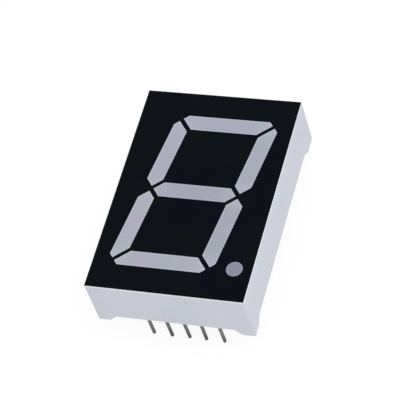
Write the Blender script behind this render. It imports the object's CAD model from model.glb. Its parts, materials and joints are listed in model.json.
"""Looks of a single-digit seven segment LED display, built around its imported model.

Frame, in metres: X runs to the right of the digit, Y towards its top and Z out of its face. The origin is the
centre of the seating plane, and the display stands on the tips of its pins.
"""

import json
import logging
import math
from dataclasses import dataclass, field
from enum import Enum
from typing import Any, Iterable, Mapping, Sequence

import bmesh
import bpy
from mathutils import Matrix, Vector

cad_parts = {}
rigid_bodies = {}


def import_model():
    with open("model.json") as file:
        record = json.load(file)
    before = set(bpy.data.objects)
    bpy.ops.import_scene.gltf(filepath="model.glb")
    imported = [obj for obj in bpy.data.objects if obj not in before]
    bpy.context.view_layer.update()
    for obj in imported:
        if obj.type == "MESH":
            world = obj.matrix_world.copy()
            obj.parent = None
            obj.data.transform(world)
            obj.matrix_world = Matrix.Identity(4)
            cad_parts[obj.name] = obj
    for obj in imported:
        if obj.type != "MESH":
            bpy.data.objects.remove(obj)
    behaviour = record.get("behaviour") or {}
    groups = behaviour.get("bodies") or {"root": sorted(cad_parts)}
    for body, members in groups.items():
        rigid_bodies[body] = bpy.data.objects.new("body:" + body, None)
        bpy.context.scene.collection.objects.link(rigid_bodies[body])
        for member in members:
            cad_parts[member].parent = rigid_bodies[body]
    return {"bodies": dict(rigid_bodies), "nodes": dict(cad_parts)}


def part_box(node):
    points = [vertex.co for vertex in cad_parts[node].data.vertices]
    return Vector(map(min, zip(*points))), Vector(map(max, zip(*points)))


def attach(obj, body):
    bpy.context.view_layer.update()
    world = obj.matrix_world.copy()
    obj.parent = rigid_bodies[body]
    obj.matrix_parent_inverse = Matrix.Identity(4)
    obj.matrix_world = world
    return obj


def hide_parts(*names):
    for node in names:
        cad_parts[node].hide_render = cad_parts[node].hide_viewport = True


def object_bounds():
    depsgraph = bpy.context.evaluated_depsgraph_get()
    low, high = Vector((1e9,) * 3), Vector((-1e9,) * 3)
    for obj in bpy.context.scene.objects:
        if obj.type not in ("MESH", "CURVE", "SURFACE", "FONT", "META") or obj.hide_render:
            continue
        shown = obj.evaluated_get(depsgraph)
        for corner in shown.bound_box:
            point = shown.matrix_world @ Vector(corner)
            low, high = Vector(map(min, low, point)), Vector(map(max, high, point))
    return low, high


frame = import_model()
CAD_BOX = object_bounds()

MM = 0.001
BODY = "root"
BAR_NAMES = "abcdefg"
LEVEL_BARS = "adg"
FACE_Z = CAD_BOX[1].z
CRUMB = 0.001 * MM  # Nothing of this size is a shape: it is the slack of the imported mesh.

log = logging.getLogger("seven_segment_display")

Colour = tuple[float, float, float, float]
Pair = tuple[float, float]
Triple = tuple[float, float, float]


def srgb(red: float, green: float, blue: float) -> Colour:
    """Turns a screen colour into the linear one that shaders use.

    Args:
        red: Red, from 0 to 255.
        green: Green, from 0 to 255.
        blue: Blue, from 0 to 255.

    Returns:
        The linear colour, with an alpha of 1.
    """
    def linear(value: float) -> float:
        """Undoes the screen's curve for one channel."""
        share = value / 255
        return share / 12.92 if share <= 0.04045 else ((share + 0.055) / 1.055) ** 2.4

    return linear(red), linear(green), linear(blue), 1.0


def outward(azimuth: float, elevation: float) -> Vector:
    """Direction from the display to something that looks or shines at it.

    Args:
        azimuth: Turn from the display's near side towards its right, in radians.
        elevation: Height above the floor's plane, in radians.

    Returns:
        The direction, of length 1.
    """
    level = math.cos(elevation)
    return Vector((math.sin(azimuth) * level, -math.cos(azimuth) * level, math.sin(elevation)))


# ---------------------------------------------------------------- node trees

class Field:
    """A shader value that can be used in ordinary sums."""

    def __init__(self, graph: "Graph", socket: bpy.types.NodeSocket) -> None:
        """Keeps the socket and the graph that it belongs to."""
        self.graph = graph
        self.socket = socket

    def __add__(self, other: "Field | float") -> "Field":
        """Sum of two values."""
        return self.graph.math("ADD", self, other)

    def __sub__(self, other: "Field | float") -> "Field":
        """Difference of two values."""
        return self.graph.math("SUBTRACT", self, other)

    def __rsub__(self, other: float) -> "Field":
        """A number less this value."""
        return self.graph.math("SUBTRACT", other, self)

    def __mul__(self, other: "Field | float") -> "Field":
        """Product of two values."""
        return self.graph.math("MULTIPLY", self, other)

    __radd__ = __add__
    __rmul__ = __mul__

    def spread(self, low: float, high: float) -> "Field":
        """Stretches a value that runs from 0 to 1, so that it runs between two others."""
        return self * (high - low) + low

    def step(self, low: float, high: float) -> "Field":
        """Runs smoothly from 0 at one value to 1 at another.

        Args:
            low: Value that gives 0.
            high: Value that gives 1.

        Returns:
            The eased value.
        """
        return self.graph.value("ShaderNodeMapRange", {"interpolation_type": "SMOOTHSTEP"},
                                {"Value": self, "From Min": low, "From Max": high}, "Result")


def add_node(tree: bpy.types.NodeTree, kind: str, settings: Mapping[str, Any] | None = None,
             inputs: Mapping[str | int, Any] | None = None) -> bpy.types.Node:
    """Adds one node to a tree.

    Args:
        tree: The tree.
        kind: Blender's name for the node's type.
        settings: Node properties, which are set first.
        inputs: Values, fields or sockets to link, by the input's name or number.

    Returns:
        The new node.
    """
    made = tree.nodes.new(kind)
    for key, value in (settings or {}).items():
        setattr(made, key, value)
    for key, value in (inputs or {}).items():
        source = value.socket if isinstance(value, Field) else value
        if isinstance(source, bpy.types.NodeSocket):
            tree.links.new(source, made.inputs[key])
        else:
            made.inputs[key].default_value = source
    return made


class Graph:
    """Shader tree of one material or of the world."""

    def __init__(self, name: str, world: bool = False) -> None:
        """Starts a material or a world with an empty tree.

        Args:
            name: Its name.
            world: Whether it is a world.
        """
        self.owner = (bpy.data.worlds if world else bpy.data.materials).new(name)
        self.owner.use_nodes = True
        self.tree = self.owner.node_tree
        self.tree.nodes.clear()

    def node(self, kind: str, settings: Mapping[str, Any] | None = None,
             inputs: Mapping[str | int, Any] | None = None) -> bpy.types.Node:
        """Adds one node, with its settings and then its inputs."""
        return add_node(self.tree, kind, settings, inputs)

    def value(self, kind: str, settings: Mapping[str, Any] | None = None,
              inputs: Mapping[str | int, Any] | None = None, output: str | int = 0) -> Field:
        """Adds one node and wraps one of its outputs.

        Args:
            kind: Blender's name for the node's type.
            settings: Node properties.
            inputs: Values or links of its sockets.
            output: Name or number of the output that is wanted.

        Returns:
            The output as a field.
        """
        return Field(self, self.node(kind, settings, inputs).outputs[output])

    def math(self, operation: str, first: "Field | float", second: "Field | float") -> Field:
        """Adds a Math node.

        Args:
            operation: The sum to do.
            first: First value.
            second: Second value.

        Returns:
            The result.
        """
        return self.value("ShaderNodeMath", {"operation": operation}, {0: first, 1: second})

    def place(self, scale: Sequence[float] = (1, 1, 1)) -> Field:
        """Position in the display's own frame, in metres.

        Args:
            scale: Stretch along X, Y and Z.

        Returns:
            The position as a vector.
        """
        here = self.value("ShaderNodeTexCoord", output="Object")
        return self.value("ShaderNodeMapping", inputs={"Vector": here, "Scale": scale})

    def attribute(self, name: str, output: str = "Fac") -> Field:
        """Reads a named attribute of the mesh.

        Args:
            name: Name of the attribute.
            output: "Fac" for a number, "Vector" for a vector or "Color" for a colour.

        Returns:
            The attribute's value.
        """
        return self.value("ShaderNodeAttribute", {"attribute_name": name}, output=output)

    def part(self, vector: Field, axis: str) -> Field:
        """One part of a vector.

        Args:
            vector: The vector.
            axis: "X", "Y" or "Z".

        Returns:
            The part along that axis.
        """
        return self.value("ShaderNodeSeparateXYZ", inputs={"Vector": vector}, output=axis)

    def noise(self, size: float, detail: float = 2.0, place: Field | None = None) -> Field:
        """Smooth noise from 0 to 1.

        Args:
            size: Size of its features, in metres.
            detail: Number of finer layers.
            place: Position to read it at. The display's frame is taken where this is left out.

        Returns:
            The noise.
        """
        return self.value("ShaderNodeTexNoise", {"noise_dimensions": "3D"},
                          {"Vector": place or self.place(), "Scale": 1 / size, "Detail": detail}, "Fac")

    def cells(self, pitch: float, jitter: float = 1.0) -> Field:
        """Distance to the nearest of many spots.

        Args:
            pitch: Space between the spots, in metres.
            jitter: 0 for spots in a square grid and 1 for spots at random.

        Returns:
            The distance, in pitches.
        """
        return self.value("ShaderNodeTexVoronoi", {"feature": "F1"},
                          {"Vector": self.place(), "Scale": 1 / pitch, "Randomness": jitter}, "Distance")

    def mix(self, factor: Field, low: "Field | Colour", high: "Field | Colour") -> Field:
        """Blends two colours, at the numbers that a Mix node gives its colour sockets.

        Args:
            factor: 0 gives the first colour and 1 the second.
            low: First colour.
            high: Second colour.

        Returns:
            The blended colour.
        """
        return self.value("ShaderNodeMix", {"data_type": "RGBA"}, {0: factor, 6: low, 7: high}, 2)

    def product(self, first: "Field | Sequence[float]", second: "Field | Sequence[float]") -> Field:
        """Multiplies two colours, or a vector and its scale, part by part.

        Args:
            first: First colour or vector.
            second: Second colour or vector.

        Returns:
            The product.
        """
        return self.value("ShaderNodeVectorMath", {"operation": "MULTIPLY"}, {0: first, 1: second})

    def bump(self, height: Field, depth: float, under: Field | None = None) -> Field:
        """Turns a height into a bumped normal.

        Args:
            height: Height, from 0 to 1.
            depth: Real height of the bumps, in metres.
            under: A coarser bump that this one lies on.

        Returns:
            The normal.
        """
        inputs: dict[str, Any] = {"Height": height, "Distance": depth}
        if under is not None:
            inputs["Normal"] = under
        return self.value("ShaderNodeBump", inputs=inputs, output="Normal")

    def principled(self, **inputs: Any) -> bpy.types.Material:
        """Ends the tree with a Principled shader.

        Args:
            **inputs: Its sockets, with underscores for the spaces in their names.

        Returns:
            The finished material.
        """
        named = {key.replace("_", " "): value for key, value in inputs.items()}
        shader = self.value("ShaderNodeBsdfPrincipled", inputs=named)
        self.node("ShaderNodeOutputMaterial", inputs={"Surface": shader})
        return self.owner


# ---------------------------------------------------------------- finishes

@dataclass(frozen=True)
class WhitePlastic:
    """Satin white moulded plastic with a breath of lavender."""

    light: Colour = srgb(220, 223, 235)
    dull: Colour = srgb(215, 219, 230)
    edge: Colour = srgb(247, 248, 252)
    edge_band: float = 0.18 * MM
    cloud_size: float = 5 * MM
    cloud_edges: Pair = (0.3, 0.7)
    grain_size: float = 0.09 * MM
    grain_depth: float = 0.0015 * MM
    roughness: Pair = (0.44, 0.56)
    specular: float = 0.4

    def build(self) -> bpy.types.Material:
        """Builds the material: slow clouds, a satin mould's fine grain, and a paler bevel round the face.

        Returns:
            The material.
        """
        graph = Graph("white_plastic")
        clouds = graph.noise(self.cloud_size).step(*self.cloud_edges)
        grain = graph.noise(self.grain_size, detail=3)
        bevel = graph.part(graph.place(), "Z").step(FACE_Z - self.edge_band, FACE_Z - self.edge_band / 2)
        return graph.principled(
            Base_Color=graph.mix(bevel, graph.mix(clouds, self.light, self.dull), self.edge),
            Roughness=grain.spread(*self.roughness),
            Normal=graph.bump(grain, self.grain_depth),
            Specular_IOR_Level=self.specular,
        )


@dataclass(frozen=True)
class BlackInk:
    """Matt blue-black ink, screen printed on the face."""

    blue: Colour = srgb(0, 3, 14)
    black: Colour = srgb(2, 6, 11)
    cloud_size: float = 6 * MM
    cloud_edges: Pair = (0.35, 0.65)
    mesh_pitch: float = 0.16 * MM
    mesh_jitter: float = 0.35
    mesh_share: float = 0.4
    peel_size: float = 0.35 * MM
    peel_depth: float = 0.003 * MM
    roughness: Pair = (0.5, 0.64)
    specular: float = 0.05

    def build(self) -> bpy.types.Material:
        """Builds the material: slow clouds of a bluer black, soft peel, and a trace of the screen's mesh.

        Returns:
            The material.
        """
        graph = Graph("black_ink")
        peel = graph.noise(self.peel_size, detail=3)
        clouds = graph.noise(self.cloud_size).step(*self.cloud_edges)
        screen = graph.cells(self.mesh_pitch, self.mesh_jitter)
        return graph.principled(
            Base_Color=graph.mix(clouds, self.blue, self.black),
            Roughness=peel.spread(*self.roughness),
            Normal=graph.bump(peel + screen * self.mesh_share, self.peel_depth),
            Specular_IOR_Level=self.specular,
        )


@dataclass(frozen=True)
class DiffusedEpoxy:
    """Grey-lilac epoxy full of fine white diffusant, cast into the light wells."""

    cool: Triple = (0.975, 1.01, 0.965)
    lilac: Triple = (1.02, 0.985, 1.035)
    paler: Triple = (1.17, 1.17, 1.16)
    end: Colour = srgb(184, 186, 198)
    end_share: float = 0.35
    end_edges: Pair = (0.15, 0.9)
    speck: Colour = srgb(190, 192, 204)
    speck_share: float = 0.25
    speck_size: float = 0.07 * MM
    speck_edges: Pair = (0.62, 0.8)
    cloud_size: float = 2.6 * MM
    cloud_edges: Pair = (0.35, 0.65)
    ripple_size: float = 0.9 * MM
    ripple_depth: float = 0.004 * MM
    roughness: Pair = (0.36, 0.44)
    specular: float = 0.35

    def build(self) -> bpy.types.Material:
        """Builds the material: each window's own cast, paler at its ends and rim, clouds and fine specks.

        Returns:
            The material.
        """
        graph = Graph("diffused_epoxy")
        clouds = graph.noise(self.cloud_size).step(*self.cloud_edges)
        specks = graph.noise(self.speck_size, detail=1).step(*self.speck_edges)
        rim = 1 - graph.attribute("well_depth").step(0.0, 1.0)
        along = graph.attribute("along")
        ends = (along * along).step(*self.end_edges)
        tint = graph.mix(clouds, (*self.cool, 1), (*self.lilac, 1))
        cast = graph.product(graph.attribute("cast", "Color"), tint)
        ended = graph.mix(ends * self.end_share, cast, self.end)
        rimmed = graph.mix(rim, ended, graph.product(ended, self.paler))
        return graph.principled(
            Base_Color=graph.mix(specks * self.speck_share, rimmed, self.speck),
            Roughness=clouds.spread(*self.roughness),
            Normal=graph.bump(graph.noise(self.ripple_size), self.ripple_depth),
            Specular_IOR_Level=self.specular,
        )


@dataclass(frozen=True)
class ClearEpoxy:
    """Milky casting epoxy that seals the back, over the green board and its solder joints."""

    milky: Colour = srgb(194, 201, 190)
    thin: Colour = srgb(180, 191, 177)
    joint: Colour = srgb(150, 156, 152)
    joint_share: float = 0.7
    joint_reach: Pair = (0.4 * MM, 1.1 * MM)
    row_fade: float = 0.1 * MM
    cloud_size: float = 6 * MM
    cloud_edges: Pair = (0.35, 0.7)
    bubble_pitch: float = 1.1 * MM
    bubble_size: float = 0.12
    bubble_depth: float = 0.03 * MM
    ripple_size: float = 1.8 * MM
    ripple_depth: float = 0.03 * MM
    roughness: Pair = (0.14, 0.22)
    specular: float = 0.5

    def joints(self, graph: Graph) -> Field:
        """Marks where the solder joints show through, round the pins.

        The sums are in millimetres, so that the squares of lengths don't get too small.

        Args:
            graph: Graph to work in.

        Returns:
            1 over a joint and 0 away from it.
        """
        first, second, last = (sum(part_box(f"pin_{i}"), Vector()) / 2 / MM for i in (1, 2, 5))
        half_pitch, row, half_row = abs(second.x - first.x) / 2, abs(first.y), abs(last.x - first.x) / 2
        here = graph.place((1 / MM,) * 3)
        across = graph.part(here, "X")
        wrapped = {0: across, 1: half_pitch, 2: -half_pitch}
        beside = graph.value("ShaderNodeMath", {"operation": "WRAP"}, wrapped)
        beyond = graph.math("ABSOLUTE", graph.part(here, "Y"), 0) - row
        near, far = (reach / MM for reach in self.joint_reach)
        close = 1 - (beside * beside + beyond * beyond).step(near ** 2, far ** 2)
        limit = half_row + half_pitch
        return close * (1 - (across * across).step((limit - self.row_fade / MM) ** 2, limit ** 2))

    def build(self) -> bpy.types.Material:
        """Builds the material: greener where it is thin, grey over the joints, with a few pinholes.

        Returns:
            The material.
        """
        graph = Graph("clear_epoxy")
        clouds = graph.noise(self.cloud_size, detail=3).step(*self.cloud_edges)
        bubbles = graph.cells(self.bubble_pitch).step(0.0, self.bubble_size)
        ripples = graph.bump(graph.noise(self.ripple_size), self.ripple_depth)
        casting = graph.mix(clouds, self.thin, self.milky)
        return graph.principled(
            Base_Color=graph.mix(self.joints(graph) * self.joint_share, casting, self.joint),
            Roughness=clouds.spread(*self.roughness),
            Normal=graph.bump(bubbles, self.bubble_depth, ripples),
            Specular_IOR_Level=self.specular,
        )


@dataclass(frozen=True)
class FibreglassBoard:
    """Green glass-cloth laminate, with its weave under the lacquer.

    The thread scale is what a wave texture needs for about one band in each pitch.
    """

    green: Colour = srgb(58, 112, 70)
    thread: Colour = srgb(92, 140, 92)
    thread_pitch: float = 0.4 * MM
    thread_scale: float = 0.3
    thread_stray: float = 0.6
    weave_depth: float = 0.01 * MM
    roughness: Pair = (0.4, 0.55)

    def threads(self, graph: Graph, axis: str) -> Field:
        """One set of parallel threads.

        Args:
            graph: Graph to work in.
            axis: "X" or "Y", the way from one thread to the next.

        Returns:
            1 on a thread and 0 between two.
        """
        inputs = {"Vector": graph.place(), "Scale": self.thread_scale / self.thread_pitch,
                  "Distortion": self.thread_stray}
        return graph.value("ShaderNodeTexWave", {"bands_direction": axis}, inputs, "Fac")

    def build(self) -> bpy.types.Material:
        """Builds the material from two crossed sets of threads.

        Returns:
            The material.
        """
        graph = Graph("fibreglass_board")
        weave = self.threads(graph, "X") * self.threads(graph, "Y")
        return graph.principled(
            Base_Color=graph.mix(weave, self.green, self.thread),
            Roughness=weave.spread(*self.roughness),
            Normal=graph.bump(weave, self.weave_depth),
        )


@dataclass(frozen=True)
class TinnedSteel:
    """Dull tin plate on drawn steel wire."""

    bright: Colour = srgb(140, 142, 147)
    dark: Colour = srgb(66, 68, 72)
    tarnish: Colour = srgb(46, 47, 50)
    tarnish_share: float = 0.6
    tarnish_heights: Pair = (-5.6 * MM, -2.8 * MM)
    shade_share: float = 0.5
    streak_size: float = 0.07 * MM
    streak_stretch: float = 0.06
    streak_edges: Pair = (0.3, 0.72)
    streak_depth: float = 0.003 * MM
    blotch_size: float = 0.5 * MM
    roughness: Pair = (0.3, 0.5)

    def build(self) -> bpy.types.Material:
        """Builds the material: streaks along the wire, a shade of its own for each pin, and duller tips.

        Returns:
            The material.
        """
        graph = Graph("tinned_steel")
        local = graph.attribute("pin_place", "Vector")
        stretched = graph.product(local, (1, 1, self.streak_stretch))
        shade = graph.attribute("pin_shade")
        streaks = graph.noise(self.streak_size, detail=3, place=stretched).step(*self.streak_edges)
        blotches = graph.noise(self.blotch_size, place=local)
        dull = 1 - graph.part(graph.place(), "Z").step(*self.tarnish_heights)
        brightness = streaks * (1 - self.shade_share) + shade * self.shade_share
        metal = graph.mix(brightness, self.dark, self.bright)
        return graph.principled(
            Base_Color=graph.mix(dull * self.tarnish_share, metal, self.tarnish),
            Metallic=1.0,
            Roughness=blotches.spread(*self.roughness),
            Normal=graph.bump(streaks, self.streak_depth),
        )


@dataclass(frozen=True)
class Solder:
    """Grainy lead-free solder."""

    light: Colour = srgb(196, 197, 199)
    grey: Colour = srgb(160, 162, 166)
    grain_size: float = 0.12 * MM
    grain_edges: Pair = (0.35, 0.65)
    grain_depth: float = 0.006 * MM
    roughness: Pair = (0.28, 0.53)

    def build(self) -> bpy.types.Material:
        """Builds the material: a frosted skin of small crystals.

        Returns:
            The material.
        """
        graph = Graph("solder")
        grain = graph.noise(self.grain_size, detail=4)
        return graph.principled(
            Base_Color=graph.mix(grain.step(*self.grain_edges), self.grey, self.light),
            Metallic=1.0,
            Roughness=grain.spread(*self.roughness),
            Normal=graph.bump(grain, self.grain_depth),
        )


@dataclass(frozen=True)
class LedDie:
    """Dark red semiconductor chip with a sawn edge."""

    top: Colour = srgb(128, 46, 40)
    edge: Colour = srgb(72, 30, 32)
    mark_size: float = 0.03 * MM
    mark_stretch: float = 0.2
    mark_edges: Pair = (0.35, 0.7)
    mark_depth: float = 0.001 * MM
    roughness: Pair = (0.25, 0.45)

    def build(self) -> bpy.types.Material:
        """Builds the material: saw marks on dark red.

        Returns:
            The material.
        """
        graph = Graph("led_die")
        marks = graph.noise(self.mark_size, place=graph.place((1, 1, self.mark_stretch)))
        return graph.principled(
            Base_Color=graph.mix(marks.step(*self.mark_edges), self.edge, self.top),
            Roughness=marks.spread(*self.roughness),
            Normal=graph.bump(marks, self.mark_depth),
        )


@dataclass(frozen=True)
class Gold:
    """Gold, drawn into wire or plated on a pad."""

    name: str
    light: Colour = srgb(232, 194, 112)
    warm: Colour = srgb(205, 160, 82)
    grain_size: float = 0.04 * MM
    grain_edges: Pair = (0.3, 0.7)
    grain_depth: float = 0.001 * MM
    roughness: Pair = (0.2, 0.4)

    def build(self) -> bpy.types.Material:
        """Builds the material: warm gold with a fine grain.

        Returns:
            The material.
        """
        graph = Graph(self.name)
        grain = graph.noise(self.grain_size, detail=3)
        return graph.principled(
            Base_Color=graph.mix(grain.step(*self.grain_edges), self.warm, self.light),
            Metallic=1.0,
            Roughness=grain.spread(*self.roughness),
            Normal=graph.bump(grain, self.grain_depth),
        )


class Finish(Enum):
    """Material slots of the display, each with the finish that dresses it."""

    WHITE_PLASTIC = WhitePlastic()
    BLACK_INK = BlackInk()
    DIFFUSED_EPOXY = DiffusedEpoxy()
    CLEAR_EPOXY = ClearEpoxy()
    FIBREGLASS_BOARD = FibreglassBoard()
    TINNED_STEEL = TinnedSteel()
    SOLDER = Solder()
    LED_DIE = LedDie()
    GOLD_WIRE = Gold("gold_wire")
    GOLD_PLATE = Gold("gold_plate")

    @property
    def slot(self) -> str:
        """Name of the slot in the record."""
        return self.name.lower()


class Paints:
    """Builds each finish once and hands it out."""

    def __init__(self) -> None:
        """Starts with no material built."""
        self.made: dict[Finish, bpy.types.Material] = {}

    def get(self, finish: Finish) -> bpy.types.Material:
        """Material of a finish.

        Args:
            finish: The finish that is wanted.

        Returns:
            Its material.
        """
        if finish not in self.made:
            self.made[finish] = finish.value.build()
        return self.made[finish]

    def dress_node(self, node: str, finish: Finish) -> None:
        """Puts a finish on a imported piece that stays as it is.

        Args:
            node: Name of the piece.
            finish: Its finish.
        """
        slots = frame["nodes"][node].material_slots
        for slot in slots:
            slot.material = self.get(finish)
        log.info("%s keeps its packed shape, in %s", node, finish.slot)


# ---------------------------------------------------------------- mesh work

def merged(node: str, flat_angle: float = math.radians(0.3), weld: float = 0.0001 * MM) -> bmesh.types.BMesh:
    """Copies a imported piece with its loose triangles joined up.

    Args:
        node: Name of the piece.
        flat_angle: Faces that meet at less than this angle are joined into one.
        weld: Corners nearer than this are joined into one, in metres.

    Returns:
        The joined mesh, to be worked on and then freed by as_piece.
    """
    work = bmesh.new()
    work.from_mesh(frame["nodes"][node].data)
    bmesh.ops.remove_doubles(work, verts=work.verts, dist=weld)
    bmesh.ops.dissolve_limit(work, angle_limit=flat_angle, verts=work.verts, edges=work.edges)
    return work


def add_object(name: str, data: bpy.types.ID) -> bpy.types.Object:
    """Puts a mesh, a lamp or a camera into the scene.

    Args:
        name: Name of the object.
        data: What it holds.

    Returns:
        The object, at the origin.
    """
    made = bpy.data.objects.new(name, data)
    bpy.context.scene.collection.objects.link(made)
    return made


def as_piece(work: bmesh.types.BMesh, name: str, material: bpy.types.Material,
             crease: float = math.radians(40)) -> bpy.types.Object:
    """Turns a worked mesh into a shaded object.

    Args:
        work: The mesh, which is freed.
        name: Name of the piece.
        material: Its material.
        crease: Edges sharper than this stay crisp.

    Returns:
        The object, at the origin.
    """
    mesh = bpy.data.meshes.new(name)
    work.to_mesh(mesh)
    work.free()
    mesh.materials.append(material)
    for polygon in mesh.polygons:
        polygon.use_smooth = True
    mesh.set_sharp_from_angle(angle=crease)
    return add_object(name, mesh)


def settle(made: bpy.types.Object) -> None:
    """Replaces an object's mesh by its evaluated one and drops its modifiers.

    Args:
        made: The object to settle.
    """
    bpy.context.view_layer.update()
    evaluated = made.evaluated_get(bpy.context.evaluated_depsgraph_get())
    mesh = bpy.data.meshes.new_from_object(evaluated, preserve_all_data_layers=True,
                                           depsgraph=bpy.context.evaluated_depsgraph_get())
    mesh.name = made.name
    made.modifiers.clear()
    made.data = mesh


def weigh_normals(made: bpy.types.Object, weight: int = 100) -> None:
    """Lets the large faces set the shading, so that flats stay flat beside small rounds.

    Args:
        made: The object to shade.
        weight: How far the large faces outweigh the small ones, from 1 to 100.
    """
    weigh = made.modifiers.new("weigh", "WEIGHTED_NORMAL")
    weigh.keep_sharp = True
    weigh.weight = weight
    settle(made)


def hand_over(made: bpy.types.Object, finish: Finish, nodes: Iterable[str]) -> None:
    """Declares a finished piece to the frame.

    Args:
        made: The piece.
        finish: Its finish.
        nodes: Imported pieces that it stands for.
    """
    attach(made, BODY)
    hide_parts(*nodes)
    log.info("%s: %d faces, in %s", made.name, len(made.data.polygons), finish.slot)


# ---------------------------------------------------------------- sub-assemblies

@dataclass
class Housing:
    """White reflector housing with softened outer edges, and the ink on its face."""

    paints: Paints
    edge_radius: float = 0.05 * MM
    edge_steps: int = 2
    sharp: float = math.radians(20)
    reach: float = 0.35 * MM
    foot_share: float = 0.25
    foot_flat: float = 2.25 * MM
    foot_run: float = 1.1 * MM
    gap_slide: float = 0.4 * MM

    def rim_height(self, work: bmesh.types.BMesh) -> float:
        """Height of the rim between the feet, the highest corner in the housing's lowest share."""
        low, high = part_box("housing")
        return max(v.co.z for v in work.verts if v.co.z < low.z + (high.z - low.z) * self.foot_share)

    def slide_gaps(self, work: bmesh.types.BMesh) -> None:
        """Slides the gap between the feet of each long side towards the near end.

        The far feet get longer and the near ones shorter. Each corner of a foot's slope slides along the
        other faces that it lies on.

        Args:
            work: The joined housing.
        """
        flat_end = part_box("housing")[1].y - self.foot_flat
        rim = self.rim_height(work)
        fall = rim / self.foot_run
        gusset = min(abs(v.co.x) + abs(v.co.y) for v in work.verts if v.co.z < CRUMB)
        for place in [vert.co for vert in work.verts if vert.co.z < rim + CRUMB]:
            if abs((flat_end - abs(place.y)) * fall - place.z) > CRUMB:
                continue
            end = math.copysign(1, place.y)
            on_gusset = abs(abs(place.x) + abs(place.y) - gusset) < CRUMB
            if on_gusset and place.z > CRUMB:
                place.z -= end * self.gap_slide * fall
                continue
            if on_gusset:
                place.x += math.copysign(self.gap_slide, place.x) * end
            place.y -= self.gap_slide
        bmesh.ops.remove_doubles(work, verts=work.verts, dist=CRUMB)

    def outer_edges(self, work: bmesh.types.BMesh) -> list[bmesh.types.BMEdge]:
        """Finds the edges that a hand can touch: the walls' corners, the rim, the feet and the face's bevel.

        Args:
            work: The joined housing.

        Returns:
            The edges to soften.
        """
        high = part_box("housing")[1]
        rim = self.rim_height(work)

        def outside(vert: bmesh.types.BMVert) -> bool:
            """Whether a corner lies on the walls' outside, or on the rim and feet.

            Args:
                vert: The corner.

            Returns:
                True where it does.
            """
            x, y, z = vert.co
            on_wall = high.x - abs(x) < self.reach or high.y - abs(y) < self.reach
            return z <= rim + CRUMB or on_wall and z < high.z + CRUMB

        return [edge for edge in work.edges
                if edge.is_manifold and edge.calc_face_angle() > self.sharp
                and all(outside(vert) for vert in edge.verts)]

    def build(self) -> None:
        """Builds the housing and dresses the ink."""
        work = merged("housing")
        self.slide_gaps(work)
        bmesh.ops.bevel(work, geom=self.outer_edges(work), offset=self.edge_radius, offset_type="OFFSET",
                        segments=self.edge_steps, profile=0.5, affect="EDGES", clamp_overlap=True)
        bmesh.ops.remove_doubles(work, verts=work.verts, dist=CRUMB)
        bmesh.ops.dissolve_degenerate(work, edges=work.edges, dist=CRUMB)
        made = as_piece(work, "reflector_housing", self.paints.get(Finish.WHITE_PLASTIC))
        weigh_normals(made)
        hand_over(made, Finish.WHITE_PLASTIC, ["housing"])
        self.paints.dress_node("black_face", Finish.BLACK_INK)


@dataclass
class LightWindows:
    """Seven epoxy bars and the round point, each a little dished where it has cured.

    Each ring of the dish is its width and its drop, from the rim inwards.
    """

    paints: Paints
    facing_up: float = 0.99
    rings: tuple[Pair, ...] = ((0.04 * MM, 0.008 * MM), (0.06 * MM, 0.006 * MM),
                               (0.09 * MM, 0.004 * MM), (0.13 * MM, 0.002 * MM))
    casts: Mapping[str, Colour] = field(default_factory=lambda: {
        "a": srgb(167, 169, 186),
        "b": srgb(166, 169, 183),
        "c": srgb(163, 165, 179),
        "d": srgb(169, 171, 186),
        "e": srgb(171, 173, 187),
        "f": srgb(170, 171, 187),
        "g": srgb(161, 163, 178),
        "point": srgb(137, 135, 157),
    })

    def window(self, node: str, name: str, cast: Colour, long_axis: int | None = None) -> None:
        """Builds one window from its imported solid.

        Args:
            node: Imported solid.
            name: Name of the new piece.
            cast: Colour that its epoxy has set to.
            long_axis: 0 for a level bar, 1 for an upright one, and left out for the point.
        """
        work = merged(node)
        low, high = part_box(node)
        middle, half = (low + high) / 2, (high - low) / 2
        depth = work.verts.layers.float.new("well_depth")
        along = work.verts.layers.float.new("along")
        colour = work.verts.layers.float_color.new("cast")
        level = (face for face in work.faces if face.normal.z > self.facing_up)
        top = max(level, key=lambda face: face.calc_center_median().z)
        total = sum(width for width, _ in self.rings)
        reached = 0.0
        for width, drop in self.rings:
            bmesh.ops.inset_region(work, faces=[top], thickness=width, depth=-drop, use_even_offset=True)
            reached += width
            for vert in top.verts:
                vert[depth] = reached / total
        for vert in work.verts:
            vert[colour] = cast
            if long_axis is not None:
                vert[along] = (vert.co - middle)[long_axis] / half[long_axis]
        made = as_piece(work, name, self.paints.get(Finish.DIFFUSED_EPOXY))
        hand_over(made, Finish.DIFFUSED_EPOXY, [node])

    def build(self) -> None:
        """Builds every window."""
        for bar in BAR_NAMES:
            self.window(f"segment_{bar}", f"light_bar_{bar}", self.casts[bar], 0 if bar in LEVEL_BARS else 1)
        self.window("decimal_point", "light_point", self.casts["point"])


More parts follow.
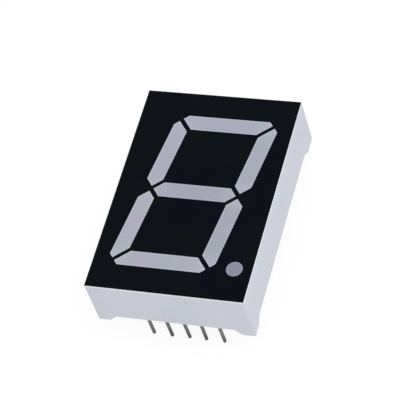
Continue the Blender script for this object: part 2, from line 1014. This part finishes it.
class PinTree:
    """Geometry node tree that turns one pin's outline and stands copies of it in two rows."""

    SIZES: tuple[tuple[str, str], ...] = (
        ("Pins in a row", "NodeSocketInt"), ("Row length", "NodeSocketFloat"), ("Row gap", "NodeSocketFloat"),
        ("Turning height", "NodeSocketFloat"), ("Sides", "NodeSocketInt"), ("Lean", "NodeSocketFloat"),
        ("Seed", "NodeSocketInt"), ("Finish", "NodeSocketMaterial"),
    )

    def __init__(self) -> None:
        """Builds the tree with its named inputs."""
        self.tree = bpy.data.node_groups.new("pin_rows", "GeometryNodeTree")
        face = self.tree.interface
        face.new_socket("Geometry", in_out="INPUT", socket_type="NodeSocketGeometry")
        for name, kind in self.SIZES:
            face.new_socket(name, in_out="INPUT", socket_type=kind)
        face.new_socket("Geometry", in_out="OUTPUT", socket_type="NodeSocketGeometry")
        self.enter = self.tree.nodes.new("NodeGroupInput")
        self.wire()

    def add(self, kind: str, settings: Mapping[str, Any] | None = None,
            inputs: Mapping[str | int, Any] | None = None) -> bpy.types.Node:
        """Adds one node, with its settings and then its inputs."""
        return add_node(self.tree, kind, settings, inputs)

    def given(self, name: str) -> bpy.types.NodeSocket:
        """Socket of one of the tree's own inputs."""
        return self.enter.outputs[name]

    def wire(self) -> None:
        """Lays out the tree: turn the outline, mark it, stand it in rows, vary it and make it real."""
        line = self.add("GeometryNodeMeshToCurve", inputs={"Mesh": self.given("Geometry")})
        radius = self.add("GeometryNodeInputNamedAttribute", {"data_type": "FLOAT"}, {"Name": "radius"})
        circle = self.add("GeometryNodeCurvePrimitiveCircle",
                          inputs={"Resolution": self.given("Sides"), "Radius": 1.0})
        turned = self.add("GeometryNodeCurveToMesh",
                          inputs={"Curve": line.outputs[0], "Profile Curve": circle.outputs[0],
                                  "Scale": radius.outputs["Attribute"], "Fill Caps": True})
        spot = self.add("GeometryNodeInputPosition")
        marked = self.add("GeometryNodeStoreNamedAttribute", {"data_type": "FLOAT_VECTOR", "domain": "POINT"},
                          {"Geometry": turned.outputs[0], "Name": "pin_place", "Value": spot.outputs[0]})
        rows = self.add("GeometryNodeMeshGrid",
                        inputs={"Size X": self.given("Row length"), "Size Y": self.given("Row gap"),
                                "Vertices X": self.given("Pins in a row"), "Vertices Y": 2})
        up = self.add("ShaderNodeCombineXYZ", inputs={"Z": self.given("Turning height")})
        raised = self.add("GeometryNodeSetPosition",
                          inputs={"Geometry": rows.outputs["Mesh"], "Offset": up.outputs[0]})
        least = self.add("ShaderNodeMath", {"operation": "MULTIPLY"}, {0: self.given("Lean"), 1: -1.0})
        low = self.add("ShaderNodeCombineXYZ",
                       inputs={"X": least.outputs[0], "Y": least.outputs[0], "Z": -math.pi})
        high = self.add("ShaderNodeCombineXYZ",
                        inputs={"X": self.given("Lean"), "Y": self.given("Lean"), "Z": math.pi})
        turn = self.add("FunctionNodeRandomValue", {"data_type": "FLOAT_VECTOR"},
                        {0: low.outputs[0], 1: high.outputs[0], "Seed": self.given("Seed")})
        copies = self.add("GeometryNodeInstanceOnPoints",
                          inputs={"Points": raised.outputs[0], "Instance": marked.outputs[0],
                                  "Rotation": turn.outputs[0]})
        shade = self.add("FunctionNodeRandomValue", {"data_type": "FLOAT"},
                         {2: 0.0, 3: 1.0, "Seed": self.given("Seed")})
        shaded = self.add("GeometryNodeStoreNamedAttribute", {"data_type": "FLOAT", "domain": "INSTANCE"},
                          {"Geometry": copies.outputs[0], "Name": "pin_shade", "Value": shade.outputs[1]})
        real = self.add("GeometryNodeRealizeInstances", inputs={"Geometry": shaded.outputs[0]})
        smooth = self.add("GeometryNodeSetShadeSmooth", inputs={"Geometry": real.outputs[0]})
        dressed = self.add("GeometryNodeSetMaterial",
                           inputs={"Geometry": smooth.outputs[0], "Material": self.given("Finish")})
        self.add("NodeGroupOutput", inputs={0: dressed.outputs[0]})

    def put_on(self, made: bpy.types.Object, sizes: Mapping[str, Any]) -> None:
        """Puts the tree on an object and sets its inputs by their identifiers.

        Args:
            made: Object that holds the outline.
            sizes: Value of each named input.
        """
        modifier = made.modifiers.new("pin_rows", "NODES")
        modifier.node_group = self.tree
        for item in self.tree.interface.items_tree:
            if item.in_out == "INPUT" and item.name in sizes:
                modifier[item.identifier] = sizes[item.name]


@dataclass
class Pins:
    """Ten tinned pins with rounded tips, shoulders and nail heads, and their solder joints."""

    paints: Paints
    count: int = 10
    radius: float = 0.25 * MM
    shank: float = 0.3 * MM
    head: float = 0.475 * MM
    head_thickness: float = 0.2 * MM
    shoulder_z: float = 1.1 * MM
    tip: float = 0.17 * MM
    tip_steps: int = 6
    ease: float = 0.015 * MM
    sides: int = 32
    crease: float = math.radians(50)
    lean: float = math.radians(1.0)
    spare: float = 0.002 * MM
    seed: int = 2976

    def outline(self, turning_z: float) -> list[Pair]:
        """Radius and height of each ring of a pin, from its tip to its head.

        Args:
            turning_z: Height of the point that the pin leans about, which becomes zero.

        Returns:
            Pairs of radius and height.
        """
        low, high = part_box("pin_1")
        low.z += self.spare
        rings = []
        for step in range(self.tip_steps + 1):
            angle = math.pi / 2 * step / self.tip_steps
            inset, rise = self.tip * (1 - math.sin(angle)), self.tip * (1 - math.cos(angle))
            rings.append((self.radius - inset, low.z + rise))
        seat = high.z - self.head_thickness
        rings += [(self.radius, self.shoulder_z), (self.shank, self.shoulder_z + self.ease),
                  (self.shank, seat), (self.head, seat + self.ease),
                  (self.head, high.z - 2 * self.ease), (self.head - 2 * self.ease, high.z)]
        return [(radius, z - turning_z) for radius, z in rings]

    def build(self) -> None:
        """Builds the pins in one tree and dresses the solder."""
        nodes = [f"pin_{i + 1}" for i in range(self.count)]
        centres = [sum(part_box(node), Vector()) / 2 for node in nodes]
        spread_x = max(c.x for c in centres) - min(c.x for c in centres)
        spread_y = max(c.y for c in centres) - min(c.y for c in centres)
        turning_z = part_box("circuit_board")[0].z
        rings = self.outline(turning_z)
        mesh = bpy.data.meshes.new("pins")
        mesh.from_pydata([(0, 0, z) for _, z in rings], [(i, i + 1) for i in range(len(rings) - 1)], [])
        radius = mesh.attributes.new("radius", "FLOAT", "POINT")
        radius.data.foreach_set("value", [ring[0] for ring in rings])
        made = add_object("pins", mesh)
        PinTree().put_on(made, {
            "Pins in a row": self.count // 2, "Row length": spread_x, "Row gap": spread_y,
            "Turning height": turning_z, "Sides": self.sides, "Lean": self.lean, "Seed": self.seed,
            "Finish": self.paints.get(Finish.TINNED_STEEL),
        })
        settle(made)
        made.data.set_sharp_from_angle(angle=self.crease)
        hand_over(made, Finish.TINNED_STEEL, nodes)
        for i in range(self.count):
            self.paints.dress_node(f"solder_{i + 1}", Finish.SOLDER)


@dataclass
class Inside:
    """Board, chips, wires, pads and the epoxy behind them."""

    paints: Paints

    def build(self) -> None:
        """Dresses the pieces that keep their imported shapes."""
        self.paints.dress_node("circuit_board", Finish.FIBREGLASS_BOARD)
        self.paints.dress_node("bond_pads", Finish.GOLD_PLATE)
        self.paints.dress_node("back_potting", Finish.CLEAR_EPOXY)
        for bar in BAR_NAMES:
            self.paints.dress_node(f"led_dice_{bar}", Finish.LED_DIE)
            self.paints.dress_node(f"bond_wires_{bar}", Finish.GOLD_WIRE)
        self.paints.dress_node("led_die_point", Finish.LED_DIE)
        self.paints.dress_node("bond_wire_point", Finish.GOLD_WIRE)


# ---------------------------------------------------------------- studio

@dataclass(frozen=True)
class Lamp:
    """Soft square lamp that points at the display.

    Its share is how bright it alone makes a white face that is turned to it, where 1 is plain white.
    """

    name: str
    azimuth: float
    elevation: float
    share: float
    distance: float = 0.5
    size: float = 0.4

    def build(self, target: Vector) -> None:
        """Hangs the lamp.

        Args:
            target: Point that it shines at.
        """
        back = outward(math.radians(self.azimuth), math.radians(self.elevation))
        data = bpy.data.lights.new(self.name, "AREA")
        data.shape = "SQUARE"
        data.size = self.size
        data.energy = self.share * math.pi ** 2 * self.distance ** 2
        lamp = add_object(self.name, data)
        lamp.location = target + back * self.distance
        lamp.rotation_euler = back.to_track_quat("Z", "Y").to_euler()


@dataclass(frozen=True)
class Viewpoint:
    """Camera that looks down on the face, rolled to its left."""

    azimuth: float = 31.65
    elevation: float = 52.378
    roll: float = -20.62
    distance: float = 303.85 * MM
    aim: Triple = (1.118 * MM, -1.151 * MM, 8.2 * MM)
    lens: float = 203.487
    sensor: float = 36.0
    nearest: float = 10 * MM

    def build(self) -> None:
        """Places the camera and makes it the scene's own."""
        around, above, tilt = (math.radians(angle) for angle in (self.azimuth, self.elevation, self.roll))
        back = outward(around, above)
        level = Vector((math.cos(around), math.sin(around), 0.0))
        up = back.cross(level)
        right = level * math.cos(tilt) + up * math.sin(tilt)
        data = bpy.data.cameras.new("camera")
        data.lens = self.lens
        data.sensor_width = self.sensor
        data.clip_start = self.nearest
        camera = add_object("camera", data)
        turn = Matrix((right, back.cross(right), back)).transposed().to_4x4()
        camera.matrix_world = Matrix.Translation(Vector(self.aim) + back * self.distance) @ turn
        bpy.context.scene.camera = camera


@dataclass
class Studio:
    """White floor and sky, soft lamps and the camera."""

    sky: float = 0.55
    floor_grey: float = 0.8
    floor_glow: float = 0.85
    white: float = 1.06
    floor_size: float = 3.0
    floor_drop: float = 0.01 * MM
    lamps: tuple[Lamp, ...] = (Lamp("key_lamp", 66, 60, 0.485), Lamp("fill_lamp", -60, 50, 0.12))
    viewpoint: Viewpoint = Viewpoint()

    @staticmethod
    def seen_directly(graph: Graph) -> Field:
        """Adds a switch that is 1 for what the camera, a reflection or clear glass shows.

        Args:
            graph: Graph to add it to.

        Returns:
            The switch.
        """
        path = graph.node("ShaderNodeLightPath")
        seen = Field(graph, path.outputs["Is Camera Ray"])
        for name in ("Is Glossy Ray", "Is Transmission Ray"):
            seen = graph.math("MAXIMUM", seen, Field(graph, path.outputs[name]))
        return seen

    def build_sky(self) -> None:
        """Makes a white world that lights the display at a plain level."""
        graph = Graph("studio", world=True)
        level = self.seen_directly(graph).spread(self.sky, 1.0)
        shine = graph.value("ShaderNodeBackground", inputs={"Color": (1, 1, 1, 1), "Strength": level})
        graph.node("ShaderNodeOutputWorld", inputs={"Surface": shine})
        bpy.context.scene.world = graph.owner

    def build_floor(self) -> None:
        """Lays a white floor that keeps the display's soft shadow."""
        graph = Graph("floor")
        lit = graph.value("ShaderNodeBsdfDiffuse", inputs={"Color": (self.floor_grey,) * 3 + (1,)})
        glow = graph.value("ShaderNodeEmission", inputs={"Strength": self.white})
        share = self.seen_directly(graph) * self.floor_glow
        blend = graph.value("ShaderNodeMixShader", inputs={"Fac": share, 1: lit, 2: glow})
        graph.node("ShaderNodeOutputMaterial", inputs={"Surface": blend})
        half, z = self.floor_size / 2, CAD_BOX[0].z - self.floor_drop
        corners = [(-half, -half, z), (half, -half, z), (half, half, z), (-half, half, z)]
        mesh = bpy.data.meshes.new("floor")
        mesh.from_pydata(corners, [], [(0, 1, 2, 3)])
        mesh.materials.append(graph.owner)
        add_object("floor", mesh)

    def build(self) -> None:
        """Sets up the studio."""
        target = (CAD_BOX[0] + CAD_BOX[1]) / 2
        for lamp in self.lamps:
            lamp.build(target)
        self.viewpoint.build()
        self.build_sky()
        self.build_floor()
        bpy.context.scene.view_settings.view_transform = "Standard"
        log.info("studio: %d lamps, sky at %.2f", len(self.lamps), self.sky)


def clear_strays() -> None:
    """Removes whatever the start-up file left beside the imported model."""
    kept = {*frame["nodes"].values(), *frame["bodies"].values()}
    for stray in [thing for thing in bpy.data.objects if thing not in kept]:
        bpy.data.objects.remove(stray)


def main() -> None:
    """Builds every sub-assembly, then the studio."""
    logging.basicConfig(level=logging.INFO, format="%(name)s: %(message)s")
    clear_strays()
    paints = Paints()
    Housing(paints).build()
    LightWindows(paints).build()
    Pins(paints).build()
    Inside(paints).build()
    Studio().build()


if __name__ == "__main__":
    main()
